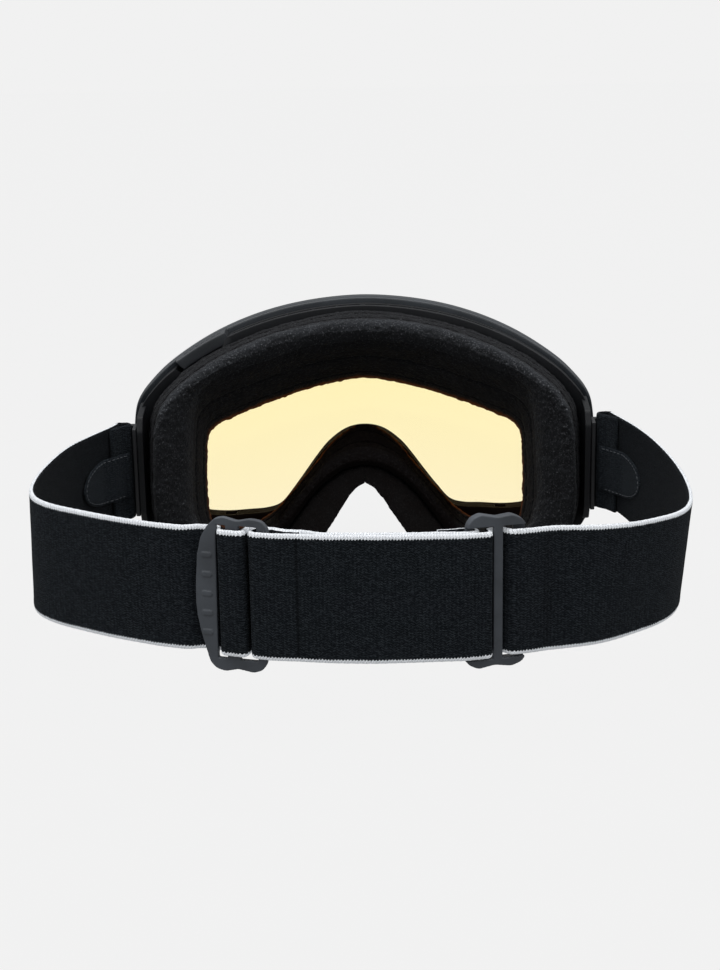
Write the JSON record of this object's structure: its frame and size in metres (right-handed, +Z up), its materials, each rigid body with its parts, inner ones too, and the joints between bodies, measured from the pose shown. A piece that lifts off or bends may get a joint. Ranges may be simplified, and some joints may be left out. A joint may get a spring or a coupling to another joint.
{
  "type": "ski goggles",
  "caption": "Ski goggles with a bent frame, magnet-held lens in a rim with a release tab, layered face foam, pivoting strap clips and an elastic strap with two sliding adjusters.",
  "frame": {"origin": "centre of the bounding box in X and Y, at its lowest point, which is the flat underside of the frame and rim", "axes": "+X across the face to the wearer's right, +Y from the back of the head out through the lens, +Z up"},
  "size_m": [0.2136, 0.212, 0.0967],
  "materials": {
    "frame": "satin black moulded polyurethane",
    "rim": "satin black nylon",
    "outer_lens": "clear pale yellow",
    "inner_lens": "clear, anti-fog coated",
    "gasket": "dark brown foam tape",
    "magnet": "nickel plated",
    "foam": "black open-cell foam",
    "fleece": "black brushed fleece",
    "vent_foam": "black reticulated foam",
    "clip": "satin black",
    "strap": "black knitted elastic with white woven edges",
    "strap_tab": "black knitted elastic",
    "adjuster": "dark grey acetal"
  },
  "bodies": {
    "goggle": {"frame": "frame", "base_foam": "foam", "dense_foam": "foam", "soft_foam": "foam", "face_fleece": "fleece", "left_nose_foam": "foam", "right_nose_foam": "foam", "brow_vent_foam": "vent_foam", "left_cheek_vent_foam": "vent_foam", "right_cheek_vent_foam": "vent_foam", "frame_magnet_brow_right": "magnet", "frame_magnet_brow_left": "magnet", "frame_magnet_corner_right": "magnet", "frame_magnet_corner_left": "magnet", "frame_magnet_cheek_right": "magnet", "frame_magnet_cheek_left": "magnet"},
    "lens_assembly": {"lens_rim": "rim", "inner_lens": "inner_lens", "lens_gasket": "gasket", "outer_lens": "outer_lens", "rim_magnet_brow_right": "magnet", "rim_magnet_brow_left": "magnet", "rim_magnet_corner_right": "magnet", "rim_magnet_corner_left": "magnet", "rim_magnet_cheek_right": "magnet", "rim_magnet_cheek_left": "magnet"},
    "strap_clips": {"left_strap_clip": "clip", "right_strap_clip": "clip", "left_strap_tab": "strap_tab", "right_strap_tab": "strap_tab"},
    "strap_band": {"left_strap": "strap", "right_strap": "strap"},
    "left_slider": {"left_adjuster": "adjuster"},
    "right_slider": {"right_adjuster": "adjuster"}
  },
  "joints": [
    {"name": "lens_release", "type": "slide", "parent": "goggle", "child": "lens_assembly", "axis": [0, 1, 0], "range_m": [0, 0.03]},
    {"name": "strap_tilt", "type": "hinge", "parent": "goggle", "child": "strap_clips", "pos_m": [0, 0.05455, 0.0392], "axis": [1, 0, 0], "range_deg": [-12, 12]},
    {"name": "strap_length", "type": "slide", "parent": "strap_clips", "child": "strap_band", "axis": [0, -1, 0], "range_m": [-0.006, 0.018], "deforming": ["left_strap", "right_strap"]},
    {"name": "left_adjuster_slide", "type": "slide", "parent": "strap_band", "child": "left_slider", "axis": [0.9642, -0.2652, 0], "range_m": [-0.0061, 0.0181]},
    {"name": "right_adjuster_slide", "type": "slide", "parent": "strap_band", "child": "right_slider", "axis": [-0.9632, -0.2687, 0], "range_m": [-0.0061, 0.0181]}
  ],
  "couplings": [
    {"joint": "left_adjuster_slide", "follows": "strap_length", "ratio": 1},
    {"joint": "right_adjuster_slide", "follows": "strap_length", "ratio": 1}
  ]
}
